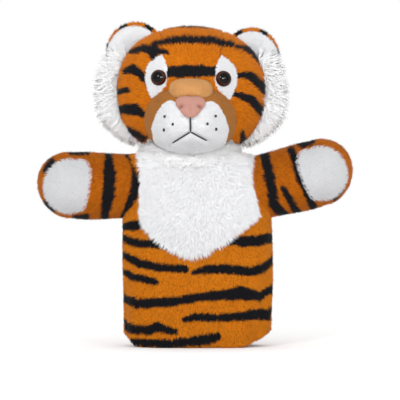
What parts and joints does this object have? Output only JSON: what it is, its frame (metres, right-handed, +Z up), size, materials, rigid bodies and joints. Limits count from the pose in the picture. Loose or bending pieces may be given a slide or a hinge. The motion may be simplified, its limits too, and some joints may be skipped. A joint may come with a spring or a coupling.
{
  "type": "hand puppet",
  "caption": "Plush tiger hand puppet: a sleeve for the hand with a hem opening, padded arms with finger pockets, and a stuffed head on a soft neck.",
  "frame": {"origin": "middle of the hem opening, where the hand goes in", "axes": "+Z up through the sleeve towards the head; the face looks along -Y; +X is the puppet's own left side"},
  "size_m": [0.2548, 0.116, 0.2599],
  "materials": {
    "plush_orange": "short orange plush with dark stripes",
    "plush_white": "longer white plush",
    "plush_tan": "short tan plush",
    "nose_cloth": "smooth pink velour",
    "lining_cloth": "plain woven polyester lining",
    "filling": "loose polyester fibre",
    "thread": "black embroidery thread",
    "eye_plastic": "glossy dark brown and black",
    "washer_plastic": "plain moulded plastic"
  },
  "bodies": {
    "torso": {"body_front": "plush_orange", "bib": "plush_white", "body_back": "plush_orange", "body_lining": "lining_cloth", "hem_facing": "lining_cloth"},
    "neck_turn": {"neck_collar": "plush_white"},
    "neck_tilt": {"neck_lining": "lining_cloth"},
    "shoulder_left": {"shoulder_left_gusset": "plush_orange"},
    "shoulder_right": {"shoulder_right_gusset": "plush_orange"},
    "arm_left": {"arm_left_sleeve": "plush_orange", "paw_left_pad": "plush_white", "arm_left_filling": "filling", "arm_left_finger_pocket": "lining_cloth"},
    "arm_right": {"arm_right_sleeve": "plush_orange", "paw_right_pad": "plush_white", "arm_right_filling": "filling", "arm_right_finger_pocket": "lining_cloth"},
    "head": {"cheek_left": "plush_orange", "cheek_right": "plush_orange", "cheek_ruff_left": "plush_white", "cheek_ruff_right": "plush_white", "chin": "plush_white", "ear_left_back": "plush_orange", "ear_left_front": "plush_white", "ear_right_back": "plush_orange", "ear_right_front": "plush_white", "eye_left": "eye_plastic", "eye_patch_left": "plush_white", "eye_patch_right": "plush_white", "eye_right": "eye_plastic", "eye_washer_left": "washer_plastic", "eye_washer_right": "washer_plastic", "forehead": "plush_orange", "head_back_left": "plush_orange", "head_back_right": "plush_orange", "head_filling": "filling", "head_finger_tube": "lining_cloth", "mouth_stitching": "thread", "muzzle_filling": "filling", "muzzle_front": "plush_white", "muzzle_side_left": "plush_tan", "muzzle_side_right": "plush_tan", "nose": "nose_cloth", "nose_bridge": "plush_tan", "nose_washer": "washer_plastic", "whisker_stitches": "thread"}
  },
  "joints": [
    {"name": "head_turn", "type": "hinge", "parent": "torso", "child": "neck_turn", "pos_m": [-0.005, 0, 0.152], "axis": [0, 0, 1], "range_deg": [-25, 25]},
    {"name": "head_tilt", "type": "hinge", "parent": "neck_turn", "child": "neck_tilt", "pos_m": [-0.005, 0, 0.152], "axis": [0, 1, 0], "range_deg": [-8, 8]},
    {"name": "head_nod", "type": "hinge", "parent": "neck_tilt", "child": "head", "pos_m": [-0.005, 0, 0.152], "axis": [1, 0, 0], "range_deg": [-15, 20]},
    {"name": "arm_left_raise", "type": "hinge", "parent": "torso", "child": "shoulder_left", "pos_m": [0.056, 0, 0.129], "axis": [0, -1, 0], "range_deg": [-38, 15]},
    {"name": "arm_left_clap", "type": "hinge", "parent": "shoulder_left", "child": "arm_left", "pos_m": [0.056, 0, 0.129], "axis": [0.225, 0, -0.9744], "range_deg": [-15, 60]},
    {"name": "arm_right_raise", "type": "hinge", "parent": "torso", "child": "shoulder_right", "pos_m": [-0.056, 0, 0.129], "axis": [0, 1, 0], "range_deg": [-25, 28]},
    {"name": "arm_right_clap", "type": "hinge", "parent": "shoulder_right", "child": "arm_right", "pos_m": [-0.056, 0, 0.129], "axis": [0, 0, 1], "range_deg": [-15, 60]}
  ]
}
